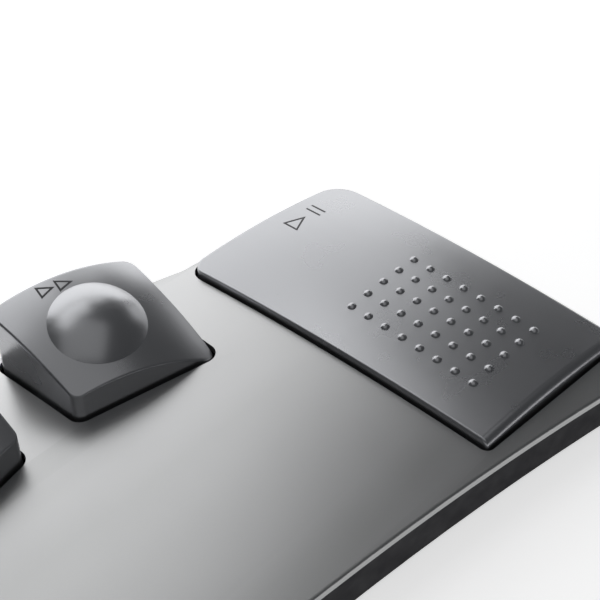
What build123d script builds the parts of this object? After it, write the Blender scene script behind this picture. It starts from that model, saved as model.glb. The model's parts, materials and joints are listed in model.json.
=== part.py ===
from build123d import *
import math
import os

# A foot control with three pedals, in millimetres.
# Origin: middle of the footprint, on the floor. X to the user's right, Y away from the user, Z up.

# Body and its outline
left_margin = 10.3
strip_width = 19.1
lobe_rise = 12.6
front_sweep = 21.0
corner_left = 16.0
corner_front_right = 10.0
corner_seam = 8.0
foot_stand = 1.2
floor_thick = 2.2
base_wall = 1.8
base_chamfer = 1.0
cover_thick = 2.4
cover_round = 1.0
cover_drop = 4.8
length_curve = 850.0
overrun = 5.0
fit_gap = 0.3
slip = 0.1

# Large pedal
play_crest_z = 23.0
play_crown = 225.0
play_left_front = 28.9
play_left_back = 33.2
play_right = 32.6
play_front_reach = 41.5
play_front_skew = 1.5
play_back_reach = 75.1
play_back_skew = 3.2
play_corner = 5.0
play_right_corner = 10.0
play_front_corner = 2.0
play_front_roll = 3.0
play_edge_round = 0.9
play_gap = 0.9
play_wall = 2.0
play_skin = 2.4
play_skirt_high = 6.1
rim_width = 1.8
ledge_depth = 13.9
dot_columns = 5
dot_rows = 8
dot_pitch_x = 7.5
dot_pitch_y = 6.75
dot_radius = 1.5
dot_rise = 0.95

# Wedge pedals, measured from the line halfway between them
wedge_inner_front = 9.5
wedge_inner_back = 8.4
wedge_outer_front = 56.0
wedge_outer_back = 57.3
wedge_length = 40.8
wedge_front_slant = 9.8
wedge_rim = 2.0
wedge_back_gap = 1.5
wedge_gap = 1.0
wedge_corner = 3.5
wedge_crest_offset = 25.9
wedge_crest_back = 5.2
wedge_crest_z = 38.8
wedge_crown = 66.1
wedge_curve = 107.2
barrel_half_angle = 50.0
wedge_edge_round = 0.9
wedge_wall = 2.0
wedge_skin = 2.2
wedge_skirt_high = 5.6
dome_offset = 30.9
dome_back = 27.7
dome_radius = 12.8
dome_rise = 3.6
dome_wall = 2.0

# Hinges
pin_radius = 1.5
pin_slip = 0.05
play_pin_inset = 8.5
play_pin_high = 6.2
play_pin_length = 52.0
wedge_pin_inset = 5.5
wedge_pin_high = 4.2
wedge_pin_length = 38.0
ear_radius = 2.9
ear_thick = 4.0
ear_inset = 2.4
lug_thick = 4.0
lug_gap = 0.5
play_lug_radius = 3.2
wedge_lug_radius = 2.9
clip_radius = 2.6
clip_thick = 0.6
clip_inset = 1.3
clip_mouth = 2.0
groove_radius = 1.15
groove_width = 0.8

# Return springs
spring_radius = 3.6
wire_radius = 0.45
spring_turns = 6.5
spring_length = 14.5
spigot_radius = 2.6
spigot_height = 2.0
seat_radius = 5.0
play_spring_apart = 30.0
play_spring_front = 18.0
wedge_spring_reach = 17.0
wedge_spring_side = 7.5
wedge_pillar_high = 8.0

# Microswitches
switch_length = 12.8
switch_width = 5.8
switch_height = 6.5
switch_stand = 3.2
switch_round = 0.5
switch_hole_radius = 1.0
switch_hole_pitch = 6.5
switch_hole_z = 1.9
terminal_length = 2.4
terminal_width = 1.2
terminal_thick = 0.5
terminal_pitch = 4.6
bracket_thick = 3.0
bracket_over = 2.8
lever_length = 15.0
lever_width = 3.6
lever_thick = 0.4
lever_tilt = 10.0
lever_pivot_inset = 0.9
lever_pivot_radius = 0.5
plunger_width = 1.6
plunger_length = 1.2
plunger_reach = 3.6
plunger_depth = 3.0
plunger_slot = 3.7
switch_screw_radius = 0.9
switch_screw_head = 1.8
switch_screw_head_high = 1.3
switch_screw_bite = 2.2
presser_radius = 1.5
presser_inset = 1.2
play_switch_arm = 57.0
wedge_switch_arm = 27.0
wedge_switch_side = 7.0
play_turn = 2.1
wedge_turn = 4.5

# Catches that hold the pedals down against their springs
catch_reach = 2.2
catch_thick = 1.6
catch_gap = 0.3
catch_rib = 1.6
play_catch_length = 34.0
wedge_catch_length = 12.0
wedge_catch_back = 9.0

# Stop pads
pad_length = 10.0
pad_width = 5.0
pad_gap = 0.3
play_pad_apart = 44.0
play_pad_inset = 2.0
wedge_pad_inset = 1.0

# Cover screws and the bosses that they join
boss_radius = 3.9
boss_high = 5.2
cover_boss_radius = 3.0
cover_boss_skin = 1.2
screw_radius = 1.5
screw_head_radius = 2.6
screw_head_high = 2.0
screw_recess_radius = 2.9
screw_recess_deep = 3.2
screw_length = 10.0
left_boss_inset = 5.9
left_boss_front = 12.0
left_boss_back = 29.0
middle_boss_back = 29.0
middle_boss_front = 12.2
strip_boss_inset = 10.0
strip_boss_back = 22.0
strip_boss_front = 6.7
right_boss_inset = 12.0
right_boss_front = 6.2

# Rubber feet
foot_radius = 6.5
foot_recess = 0.8
foot_gap = 0.1
foot_left_inset = 24.0
foot_right_inset = 17.0
foot_middle_inset = 33.0
foot_front_inset = 18.0
foot_back_inset = 22.0

# Circuit board
board_width = 52.0
board_depth = 34.0
board_thick = 1.6
board_side_inset = 43.0
board_front_inset = 32.7
board_post_radius = 2.6
board_post_high = 3.0
board_hole_inset = 3.5
board_screw_radius = 1.1
board_screw_head = 2.1
board_screw_head_high = 1.4
board_screw_bite = 3.6
chip_size = 10.0
chip_high = 1.4
chip_offset = 7.0
crystal_length = 11.0
crystal_width = 4.6
crystal_high = 3.4
crystal_offset = 11.0
crystal_lift = 10.0
header_length = 12.5
header_width = 5.6
header_high = 6.0
header_wall = 1.0
header_inset = 5.5
small_length = 3.2
small_width = 1.6
small_high = 1.2
small_count = 5
small_pitch = 4.4
small_row = 6.4

# Ballast
ballast_width = 52.0
ballast_depth = 46.0
ballast_thick = 3.0
ballast_side_inset = 35.0
ballast_front_inset = 59.7
ballast_corner = 4.0
ballast_hole_inset = 7.0
ballast_screw_radius = 1.5
ballast_screw_head = 2.8
ballast_screw_head_high = 1.8
ballast_screw_bite = 1.6

# Cable gland
gland_high = 3.2
gland_bore = 1.8
gland_radius = 2.5
gland_flange_radius = 3.9
gland_flange_thick = 2.0
gland_inner_radius = 3.1
gland_inner_thick = 1.6
gland_round = 0.6

# Places that follow from the sizes
body_width = left_margin + 2 * wedge_outer_back + strip_width
body_width += play_left_back + play_right + 2 * play_gap + rim_width
right_x = body_width / 2
left_x = -right_x
front_radius = (body_width**2 + front_sweep**2) / (2 * front_sweep)
front_slope = 2 * math.atan(front_sweep / body_width)
corner_loss = corner_front_right * (math.tan(front_slope) + 1 / math.cos(front_slope) - 1)
play_depth = play_front_reach + play_back_reach + play_back_skew
body_depth = ledge_depth + play_depth + 2 * play_gap + rim_width + lobe_rise - corner_loss
total_depth = body_depth + gland_flange_thick
front_y = -total_depth / 2 - corner_loss
back_y = body_depth - total_depth / 2
left_front_y = front_y + front_sweep
lobe_x = left_x + left_margin + wedge_outer_back
seam_x = lobe_x + wedge_outer_back + strip_width
play_x = seam_x + play_gap + play_left_back
play_y = front_y + ledge_depth + play_gap + play_front_reach
play_front_y = play_y - play_front_reach
play_back_y = play_y + play_back_reach
right_back_y = play_back_y - play_back_skew + play_gap + rim_width
corner_back_right = play_right_corner + play_gap + rim_width
seam_back_y = play_back_y + play_back_skew + play_gap + rim_width
lobe_reach = seam_x - lobe_x
lobe_radius = (lobe_reach**2 + lobe_rise**2) / (2 * lobe_rise)
play_pin_y = play_back_y - play_pin_inset
floor_z = foot_stand + floor_thick
play_skirt_z = floor_z + play_skirt_high
wedge_skirt_z = floor_z + wedge_skirt_high
play_pin_z = floor_z + play_pin_high
wedge_pin_z = floor_z + wedge_pin_high
boss_meet_z = floor_z + boss_high
gland_z = floor_z + gland_high
switch_top_z = floor_z + switch_stand + switch_height
foot_middle_x = seam_x - foot_middle_inset
board_x = left_x + board_side_inset
board_y = left_front_y + board_front_inset
ballast_x = seam_x - ballast_side_inset
ballast_y = front_y + ballast_front_inset


def front_edge_y(x):
    """Front edge of the body, an arc that starts square to its left side."""
    return left_front_y - front_radius + math.sqrt(front_radius**2 - (x - left_x) ** 2)


def lobe_y(x):
    """Back edge of the body behind the wedge pedals, a circle about the line between them."""
    return back_y - lobe_radius + math.sqrt(lobe_radius**2 - (x - lobe_x) ** 2)


left_back_y = lobe_y(left_x)
wedge_crest_x = lobe_x + wedge_crest_offset
wedge_crest_y = back_y + wedge_crest_back


def disc(x, y, low, radius, height):
    return Pos(x, y, low + height / 2) * Cylinder(radius, height)


def block(x_low, x_high, y_low, y_high, z_low, z_high):
    size = (x_high - x_low, y_high - y_low, z_high - z_low)
    middle = Pos((x_low + x_high) / 2, (y_low + y_high) / 2, (z_low + z_high) / 2)
    return middle * Box(*size)


def prism(face, z_low, z_high):
    return extrude(Pos(0, 0, z_low) * face, amount=z_high - z_low, dir=(0, 0, 1))


def rounded(face, corners):
    """Round the corner of the face that is nearest to each point."""
    for point, radius in corners:
        corner = face.vertices().sort_by_distance(Vertex(*point))[0]
        face = fillet(corner, radius=radius)
    return face


def cross_rod(x_low, x_high, y, z, radius):
    """A rod along X."""
    return Pos((x_low + x_high) / 2, y, z) * Rot(0, 90, 0) * Cylinder(radius, x_high - x_low)


def body_outline():
    front_left = (left_x, left_front_y)
    front_right = (right_x, front_y)
    back_right = (right_x, right_back_y)
    seam = (seam_x, seam_back_y)
    back_left = (left_x, left_back_y)
    edges = [
        TangentArc(front_left, front_right, tangent=(1, 0)),
        Line(front_right, back_right),
        Line(back_right, seam),
        ThreePointArc(seam, (lobe_x, back_y), back_left),
        Line(back_left, front_left),
    ]
    corners = [
        (front_left, corner_left),
        (front_right, corner_front_right),
        (back_right, corner_back_right),
        (seam, corner_seam),
        (back_left, corner_left),
    ]
    return rounded(make_face(Curve() + edges), corners)


def length_cylinder(radius_change):
    """The long curve that the cover shares with the large pedal, as a solid rod along X."""
    radius = length_curve + radius_change
    rod = Rot(0, 90, 0) * Cylinder(radius, body_width + 2 * overrun)
    return Pos(0, play_y, play_crest_z - length_curve) * rod


def cover_top_z(y):
    radius = length_curve - cover_drop
    return play_crest_z - length_curve + math.sqrt(radius**2 - (y - play_y) ** 2)


outline = body_outline()
inner_outline = offset(outline, amount=-base_wall)
block_top = wedge_crest_z + overrun

# Corners of the fast forward pedal, seen from above
inner_front_x = lobe_x + wedge_inner_front
inner_back_x = lobe_x + wedge_inner_back
outer_front_x = lobe_x + wedge_outer_front
outer_back_x = lobe_x + wedge_outer_back
outer_back_y = lobe_y(outer_back_x) - wedge_rim - wedge_back_gap
inner_back_y = lobe_y(inner_back_x) - wedge_rim - wedge_back_gap
outer_front_y = outer_back_y - wedge_length
inner_front_y = outer_front_y + wedge_front_slant
wedge_turned = math.degrees(math.atan2(outer_front_y - inner_front_y, outer_front_x - inner_front_x))
wedge_place = Pos((inner_front_x + outer_front_x) / 2, (inner_front_y + outer_front_y) / 2, 0)
wedge_frame = wedge_place * Rot(0, 0, wedge_turned)
mirror_plane = Plane.YZ.offset(lobe_x)


def rewind_side(piece):
    return mirror(piece, about=mirror_plane)


def wedge_outline():
    inner_front = (inner_front_x, inner_front_y)
    outer_front = (outer_front_x, outer_front_y)
    outer_back = (outer_back_x, outer_back_y)
    inner_back = (inner_back_x, inner_back_y)
    places = [inner_front, outer_front, outer_back, inner_back]
    face = make_face(Polyline(*places, close=True))
    return rounded(face, [(place, wedge_corner) for place in places])


def barrel(skin):
    """The crowned surface of a wedge pedal, or one that lies a skin below it."""
    crown = wedge_crown - skin
    curve = wedge_curve - skin
    half = wedge_crown * math.sin(math.radians(barrel_half_angle))
    edge = curve - crown + math.sqrt(crown**2 - half**2)
    edges = [
        Line((-half, 0), (half, 0)),
        Line((half, 0), (half, edge)),
        ThreePointArc((half, edge), (0, curve), (-half, edge)),
        Line((-half, edge), (-half, 0)),
    ]
    turned = revolve(make_face(Curve() + edges), axis=Axis.X)
    return Pos(wedge_crest_x, wedge_crest_y, wedge_crest_z - wedge_curve) * turned


def barrel_z(x, y):
    reach = wedge_curve - wedge_crown + math.sqrt(wedge_crown**2 - (x - wedge_crest_x) ** 2)
    return wedge_crest_z - wedge_curve + math.sqrt(reach**2 - (y - wedge_crest_y) ** 2)


def play_outline(front_corner):
    """The large pedal seen from above; its front, back and left edges all slant."""
    front_left = (play_x - play_left_front, play_front_y + play_front_skew)
    front_right = (play_x + play_right, play_front_y - play_front_skew)
    back_right = (play_x + play_right, play_back_y - play_back_skew)
    back_left = (play_x - play_left_back, play_back_y + play_back_skew)
    face = make_face(Polyline(front_left, front_right, back_right, back_left, close=True))
    corners = [(back_right, play_right_corner), (back_left, play_corner)]
    if front_corner:
        corners += [(front_left, front_corner), (front_right, front_corner)]
    return rounded(face, corners)


def play_surface(skin):
    """Everything under the crowned top of the large pedal, or under a surface a skin below it."""
    axis_z = play_crest_z - play_crown
    centre_z = play_crest_z - length_curve
    radius = length_curve - skin
    front = play_front_y - play_front_skew - overrun
    back = play_back_y + play_back_skew + overrun
    front_z = centre_z + math.sqrt(radius**2 - (front - play_y) ** 2)
    back_z = centre_z + math.sqrt(radius**2 - (back - play_y) ** 2)
    edges = [
        Line((0, front, axis_z), (0, front, front_z)),
        ThreePointArc((0, front, front_z), (0, play_y, centre_z + radius), (0, back, back_z)),
        Line((0, back, back_z), (0, back, axis_z)),
        Line((0, back, axis_z), (0, front, axis_z)),
    ]
    turned = revolve(make_face(Curve() + edges), axis=Axis((0, 0, axis_z), (0, 1, 0)))
    return Pos(play_x, 0, 0) * turned


def play_z(x, y):
    fall = length_curve - math.sqrt(length_curve**2 - (y - play_y) ** 2)
    return play_crest_z - play_crown + math.sqrt((play_crown - fall) ** 2 - (x - play_x) ** 2)


play_axis = (play_x, play_pin_y, play_pin_z)
wedge_pin_half = wedge_pin_length / 2
play_pin_half = play_pin_length / 2

play_frame = Pos(play_x, play_pin_y, 0) * Rot(0, 0, 180)
play_front_turned = math.degrees(math.atan2(-2 * play_front_skew, play_left_front + play_right))
play_front_place = Pos(play_x + (play_right - play_left_front) / 2, play_front_y, 0)
play_front_frame = play_front_place * Rot(0, 0, play_front_turned)
pedal_hinge_frame = wedge_frame * Pos(0, wedge_pin_inset, 0)


def hinge_pin(half):
    """A pin along X with a groove for a clip near each end."""
    pin = cross_rod(-half, half, 0, 0, pin_radius)
    for side in (-1, 1):
        middle = side * (half - clip_inset)
        low, high = middle - groove_width / 2, middle + groove_width / 2
        groove = cross_rod(low, high, 0, 0, pin_radius + overrun)
        pin -= groove - cross_rod(low, high, 0, 0, groove_radius)
    return pin


def pin_clips(half):
    """Two open rings that snap into the grooves."""
    clips = []
    for side in (-1, 1):
        middle = side * (half - clip_inset)
        low, high = middle - clip_thick / 2, middle + clip_thick / 2
        ring = cross_rod(low, high, 0, 0, clip_radius)
        ring -= cross_rod(low, high, 0, 0, groove_radius + pin_slip)
        mouth = block(low, high, -clip_mouth / 2, clip_mouth / 2, 0, clip_radius + overrun)
        clips.append(ring - mouth)
    return clips


def upright(x, half_thick, z, radius, foot_z, hole):
    """A plate that stands on the floor, or hangs from a pedal, with a round end about the pin."""
    low, high = x - half_thick, x + half_thick
    plate = cross_rod(low, high, 0, z, radius)
    plate += block(low, high, -radius, radius, min(z, foot_z), max(z, foot_z))
    return plate - cross_rod(low, high, 0, z, hole)


def hinge_ears(half, z):
    """The two ears of the base that hold one pin, in the frame of the hinge."""
    place = half - ear_inset - ear_thick / 2
    hole = pin_radius + pin_slip
    low = floor_z - floor_thick / 2
    return [upright(side * place, ear_thick / 2, z, ear_radius, low, hole) for side in (-1, 1)]


def hinge_lugs(half, z, radius):
    """The two lugs of a pedal, between the ears, in the frame of the hinge."""
    place = half - ear_inset - ear_thick - lug_gap - lug_thick / 2
    hole = pin_radius + pin_slip
    return [upright(side * place, lug_thick / 2, z, radius, block_top, hole) for side in (-1, 1)]


def spring_coil(x, y, low):
    """One unbroken coil, standing on a seat."""
    rise = spring_length - 2 * wire_radius
    path = Helix(pitch=rise / spring_turns, height=rise, radius=spring_radius)
    section = Plane(origin=path @ 0, z_dir=path % 0) * Circle(wire_radius)
    return Pos(x, y, low + wire_radius) * sweep(section, path=path, is_frenet=True)


# The lever and the plunger at rest and pressed, in the frame of the switch
lever_pivot_y = lever_pivot_inset - switch_length / 2
lever_pivot_z = switch_top_z + lever_pivot_radius + slip
contact_reach = lever_length - presser_inset
tilt = math.radians(lever_tilt)
play_drop = play_switch_arm * math.sin(math.radians(play_turn))
wedge_drop = wedge_switch_arm * math.sin(math.radians(wedge_turn))
play_lever_turn = play_drop / contact_reach
wedge_lever_turn = wedge_drop / contact_reach
plunger_near = plunger_reach - plunger_length / 2


def lever_under(reach, angle):
    return lever_pivot_z + reach * math.tan(angle) - lever_thick / 2 / math.cos(angle)


def plunger_travel(turn):
    return lever_under(plunger_near, tilt) - lever_under(plunger_near, tilt - turn)


plunger_top_z = lever_under(plunger_near, tilt) - slip
presser_z = lever_pivot_z + contact_reach * math.tan(tilt)
presser_z += (presser_radius + fit_gap / 2 + lever_thick / 2) / math.cos(tilt)
contact_y = lever_pivot_y + contact_reach


def switch_body():
    """The case with its lever ears, plunger slot and cross holes."""
    half_length = switch_length / 2
    half_width = switch_width / 2
    low = floor_z + switch_stand
    body = block(-half_width, half_width, -half_length, half_length, low, switch_top_z)
    body = fillet(body.edges().filter_by(Axis.Z), radius=switch_round)
    inner = lever_width / 2 + slip
    ear_y = lever_pivot_inset - slip
    ear_low, ear_high = lever_pivot_y - ear_y, lever_pivot_y + ear_y
    ear_top = lever_pivot_z + lever_pivot_inset
    for side in (-1, 1):
        x_low, x_high = sorted((side * inner, side * half_width))
        body += block(x_low, x_high, ear_low, ear_high, switch_top_z - switch_round, ear_top)
    body -= cross_rod(-half_width, half_width, lever_pivot_y, lever_pivot_z, lever_pivot_radius + pin_slip)
    for side in (-1, 1):
        hole_y = side * switch_hole_pitch / 2
        body -= cross_rod(-half_width, half_width, hole_y, low + switch_hole_z, switch_hole_radius)
    slot_x = plunger_width / 2 + pin_slip
    slot_y = plunger_length / 2 + pin_slip
    plunger_y = lever_pivot_y + plunger_reach
    slot_low = switch_top_z - plunger_slot
    body -= block(-slot_x, slot_x, plunger_y - slot_y, plunger_y + slot_y, slot_low, switch_top_z)
    return body


def switch_terminals():
    """Three blades under the case."""
    high = floor_z + switch_stand
    half_thick = terminal_thick / 2
    half_width = terminal_width / 2
    blades = []
    for step in (-1, 0, 1):
        y = step * terminal_pitch
        blade = block(-half_thick, half_thick, y - half_width, y + half_width, high - terminal_length, high)
        blades.append(blade)
    return blades


def switch_lever():
    """The pressed metal lever with its pivot rod, tilted up at rest."""
    half = lever_width / 2
    leaf = block(-half, half, 0, lever_length, -lever_thick / 2, lever_thick / 2)
    rod_half = switch_width / 2 - slip
    rod = cross_rod(-rod_half, rod_half, 0, 0, lever_pivot_radius)
    return Pos(0, lever_pivot_y, lever_pivot_z) * (Rot(lever_tilt, 0, 0) * (leaf + rod))


def switch_plunger():
    half_x = plunger_width / 2
    y = lever_pivot_y + plunger_reach
    half_y = plunger_length / 2
    return block(-half_x, half_x, y - half_y, y + half_y, switch_top_z - plunger_depth, plunger_top_z)


def bracket_box():
    half_length = switch_length / 2
    low = switch_width / 2
    high_z = floor_z + switch_stand + switch_hole_z + bracket_over
    return block(low, low + bracket_thick, -half_length, half_length, floor_z - floor_thick / 2, high_z)


def bracket_holes():
    """Holes in the bracket that the two switch screws bite into."""
    low = switch_width / 2
    z = floor_z + switch_stand + switch_hole_z
    high = low + bracket_thick
    places = [side * switch_hole_pitch / 2 for side in (-1, 1)]
    return [cross_rod(low, high, y, z, switch_screw_radius + slip) for y in places]


def switch_screws():
    z = floor_z + switch_stand + switch_hole_z
    half = switch_width / 2
    screws = []
    for side in (-1, 1):
        y = side * switch_hole_pitch / 2
        screw = cross_rod(-half, half + switch_screw_bite, y, z, switch_screw_radius)
        screw += cross_rod(-half - switch_screw_head_high, -half, y, z, switch_screw_head)
        screws.append(screw)
    return screws


def presser():
    """The round-ended post of a pedal that pushes the tip of the lever, in the switch frame."""
    ball = Pos(0, contact_y, presser_z) * Sphere(presser_radius)
    return ball + disc(0, contact_y, presser_z, presser_radius, block_top - presser_z)


play_switch_frame = play_frame * Pos(0, play_switch_arm - contact_y, 0)
wedge_switch_frame = pedal_hinge_frame * Pos(wedge_switch_side, wedge_switch_arm - contact_y, 0)
play_spring_low = floor_z + slip
wedge_spring_low = floor_z + wedge_pillar_high + slip
play_spring_places = [
    (play_x + side * play_spring_apart / 2, play_y - play_spring_front) for side in (-1, 1)
]
wedge_spring_spot = pedal_hinge_frame * Pos(-wedge_spring_side, wedge_spring_reach, 0)
wedge_spring_x = wedge_spring_spot.position.X
wedge_spring_y = wedge_spring_spot.position.Y


def spring_seat(x, y, spring_low):
    """Flat seat under a pedal with a peg that centres the coil."""
    seat_z = spring_low + spring_length + slip
    seat = disc(x, y, seat_z, seat_radius, block_top - seat_z)
    return seat + disc(x, y, seat_z - spigot_height, spigot_radius, spigot_height)


def raised_dots():
    ball_radius = (dot_radius**2 + dot_rise**2) / (2 * dot_rise)
    dots = []
    for column in range(dot_columns):
        x = play_x + (column - (dot_columns - 1) / 2) * dot_pitch_x
        for row in range(dot_rows):
            y = play_y + (row - (dot_rows - 1) / 2) * dot_pitch_y
            dots.append(Pos(x, y, play_z(x, y) + dot_rise - ball_radius) * Sphere(ball_radius))
    return dots


def play_pedal():
    outer = prism(play_outline(0), play_skirt_z, block_top) & play_surface(0)
    front_edge = outer.faces().sort_by(Axis.Y)[0].edges().sort_by(Axis.Z)[-1]
    outer = fillet(front_edge, radius=play_front_roll)
    front, roll = outer.faces().sort_by(Axis.Y)[:2]
    top = outer.faces().sort_by(Axis.Z)[-1]
    roll_end = play_front_y + play_front_roll + play_edge_round
    edges = ShapeList()
    for edge in front.edges() + roll.edges() + top.edges():
        middle = edge.center()
        across = abs(middle.X - play_x) < play_left_front / 2 and middle.Y < roll_end
        if not across:
            edges.append(edge)
    outer = fillet(edges, radius=play_edge_round)
    outer += raised_dots()
    inner_face = offset(play_outline(0), amount=-play_wall)
    hollow = prism(inner_face, play_skirt_z - overrun, block_top) & play_surface(play_skin)
    middle_surface = play_surface(play_skin / 2)
    inside = [play_frame * lug for lug in hinge_lugs(play_pin_half, play_pin_z, play_lug_radius)]
    inside += [spring_seat(x, y, play_spring_low) for x, y in play_spring_places]
    inside.append(play_switch_frame * presser())
    pedal = outer - hollow
    pedal += [piece & middle_surface for piece in inside]
    half = play_catch_length / 2
    lip = block(-half, half, -catch_reach, play_wall / 2, play_skirt_z, play_skirt_z + catch_thick)
    return pedal + play_front_frame * lip


def dome_spot():
    """Centre of the ball of the round dome, set square to the surface of the wedge."""
    x = lobe_x + dome_offset
    y = back_y - dome_back
    z = barrel_z(x, y)
    reach = wedge_curve - wedge_crown + math.sqrt(wedge_crown**2 - (x - wedge_crest_x) ** 2)
    side = reach * (x - wedge_crest_x) / math.sqrt(wedge_crown**2 - (x - wedge_crest_x) ** 2)
    normal = Vector(side, y - wedge_crest_y, z - wedge_crest_z + wedge_curve).normalized()
    ball_radius = (dome_radius**2 + dome_rise**2) / (2 * dome_rise)
    return Vector(x, y, z) - normal * (ball_radius - dome_rise), ball_radius


def side_catches():
    """Lips on both sides of a wedge, near its back, that catch under the cover."""
    back = min(outer_back_y, inner_back_y) - wedge_catch_back
    outer_x = (min(outer_front_x, outer_back_x) - wedge_wall / 2, outer_back_x + catch_reach)
    inner_x = (inner_back_x - catch_reach, max(inner_front_x, inner_back_x) + wedge_wall / 2)
    return [(*x_range, back - wedge_catch_length, back) for x_range in (outer_x, inner_x)]


def wedge_pedal():
    """The fast forward pedal; the rewind pedal is its mirror image."""
    face = wedge_outline()
    outer = prism(face, wedge_skirt_z, block_top) & barrel(0)
    outer = fillet(outer.faces().sort_by(Axis.Z)[-1].edges(), radius=wedge_edge_round)
    centre, ball_radius = dome_spot()
    ball = Pos(*centre) * Sphere(ball_radius)
    outer += ball - barrel(wedge_skin / 2)
    hollow = prism(offset(face, amount=-wedge_wall), wedge_skirt_z - overrun, block_top)
    hollow = hollow & barrel(wedge_skin)
    dome_well = disc(centre.X, centre.Y, wedge_skirt_z, dome_radius - dome_wall, block_top)
    dome_well = dome_well & (Pos(*centre) * Sphere(ball_radius - dome_wall))
    pedal = outer - hollow - dome_well
    lugs = hinge_lugs(wedge_pin_half, wedge_pin_z, wedge_lug_radius)
    inside = [pedal_hinge_frame * lug for lug in lugs]
    inside.append(spring_seat(wedge_spring_x, wedge_spring_y, wedge_spring_low))
    inside.append(wedge_switch_frame * presser())
    ceiling = barrel(wedge_skin / 2) + Pos(*centre) * Sphere(ball_radius - dome_wall / 2)
    pedal += [piece & ceiling for piece in inside]
    lip_top = wedge_skirt_z + catch_thick
    return pedal + [block(*lip, wedge_skirt_z, lip_top) for lip in side_catches()]


def cover_places():
    """Where the screws that hold the cover pass up through the base."""
    left = left_x + left_boss_inset
    strip = seam_x - strip_boss_inset
    right = right_x - right_boss_inset
    return [
        (left, front_edge_y(left) + left_boss_front),
        (left, left_back_y - left_boss_back),
        (lobe_x, front_edge_y(lobe_x) + middle_boss_front),
        (lobe_x, back_y - middle_boss_back),
        (strip, front_edge_y(strip) + strip_boss_front),
        (strip, seam_back_y - strip_boss_back),
        (right, front_edge_y(right) + right_boss_front),
    ]


def foot_places():
    left = left_x + foot_left_inset
    right = right_x - foot_right_inset
    backs = {left: left_back_y, foot_middle_x: seam_back_y, right: right_back_y}
    places = []
    for x, back in backs.items():
        places += [(x, front_edge_y(x) + foot_front_inset), (x, back - foot_back_inset)]
    return places


def board_places():
    reach_x = board_width / 2 - board_hole_inset
    reach_y = board_depth / 2 - board_hole_inset
    return [(board_x + i * reach_x, board_y + j * reach_y) for i in (-1, 1) for j in (-1, 1)]


def ballast_places():
    reach_x = ballast_width / 2 - ballast_hole_inset
    return [(ballast_x + side * reach_x, ballast_y) for side in (-1, 1)]


def play_opening(grow):
    return offset(play_outline(play_front_corner), amount=grow)


def wedge_opening(front_grow, back_grow):
    """Outline of the wedge, with more room behind it than round its other sides."""
    grown = offset(wedge_outline(), amount=front_grow)
    return grown + Pos(0, back_grow - front_grow, 0) * grown


def top_cover():
    under = length_cylinder(-cover_drop - cover_thick)
    plate = prism(outline, 0, block_top) & length_cylinder(-cover_drop)
    plate = fillet(plate.faces().sort_by(Axis.Z)[-1].edges(), radius=cover_round)
    plate -= under
    wedge_hole = prism(wedge_opening(wedge_gap, wedge_back_gap), 0, block_top)
    plate -= prism(play_opening(play_gap), 0, block_top)
    plate -= wedge_hole
    plate -= rewind_side(wedge_hole)
    buried = length_cylinder(-cover_drop - cover_thick / 2)
    additions = []
    for x, y in cover_places():
        additions.append(disc(x, y, boss_meet_z, cover_boss_radius, block_top) & buried)
    half = play_catch_length / 2
    rib_z = play_skirt_z + catch_thick + catch_gap
    rib = block(-half, half, -play_gap - catch_rib, -play_gap, rib_z, block_top)
    additions.append(play_front_frame * rib & buried)
    rib_z = wedge_skirt_z + catch_thick + catch_gap
    for x_low, x_high, y_low, y_high in side_catches():
        if x_high > outer_front_x:
            rib_x = (outer_back_x + wedge_gap, outer_back_x + wedge_gap + catch_rib)
        else:
            rib_x = (inner_back_x - wedge_gap - catch_rib, inner_back_x - wedge_gap)
        rib = block(*rib_x, y_low, y_high, rib_z, block_top) & buried
        additions += [rib, rewind_side(rib)]
    plate += additions
    for x, y in cover_places():
        deep = cover_top_z(y) - cover_boss_skin - boss_meet_z
        plate -= disc(x, y, boss_meet_z, screw_radius + slip, deep)
    return plate


def base_shell():
    shell = prism(outline, foot_stand, block_top) & length_cylinder(-cover_drop - cover_thick)
    shell = chamfer(shell.faces().sort_by(Axis.Z)[0].edges(), length=base_chamfer)
    shell -= prism(inner_outline, floor_z, block_top)
    low = floor_z - floor_thick / 2
    additions = [disc(x, y, low, boss_radius, boss_meet_z - low) for x, y in cover_places()]
    for x, y in board_places():
        additions.append(disc(x, y, low, board_post_radius, floor_z + board_post_high - low))
    additions += [play_frame * ear for ear in hinge_ears(play_pin_half, play_pin_z)]
    for x, y in play_spring_places:
        additions.append(disc(x, y, low, spigot_radius, floor_z + spigot_height - low))
    additions.append(play_switch_frame * bracket_box())
    wedge_side = [pedal_hinge_frame * ear for ear in hinge_ears(wedge_pin_half, wedge_pin_z)]
    wedge_side.append(wedge_switch_frame * bracket_box())
    pillar_top = floor_z + wedge_pillar_high
    pillar = disc(wedge_spring_x, wedge_spring_y, low, seat_radius, pillar_top - low)
    pillar += disc(wedge_spring_x, wedge_spring_y, pillar_top, spigot_radius, spigot_height)
    wedge_side.append(pillar)
    additions += wedge_side + [rewind_side(piece) for piece in wedge_side]
    shell += additions
    holes = []
    for x, y in cover_places():
        holes.append(disc(x, y, 0, screw_recess_radius, foot_stand + screw_recess_deep))
        holes.append(disc(x, y, 0, screw_radius + slip, boss_meet_z))
    for x, y in foot_places():
        holes.append(disc(x, y, 0, foot_radius + foot_gap, foot_stand + foot_recess))
    for x, y in board_places():
        bite = board_screw_bite
        holes.append(disc(x, y, floor_z + board_post_high - bite, board_screw_radius + slip, bite))
    for x, y in ballast_places():
        holes.append(disc(x, y, floor_z - ballast_screw_bite, ballast_screw_radius + slip, block_top))
    holes += [play_switch_frame * hole for hole in bracket_holes()]
    wedge_holes = [wedge_switch_frame * hole for hole in bracket_holes()]
    holes += wedge_holes + [rewind_side(hole) for hole in wedge_holes]
    holes.append(gland_ring(back_y - base_wall - overrun, back_y + overrun, gland_radius + pin_slip))
    return shell - holes


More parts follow.
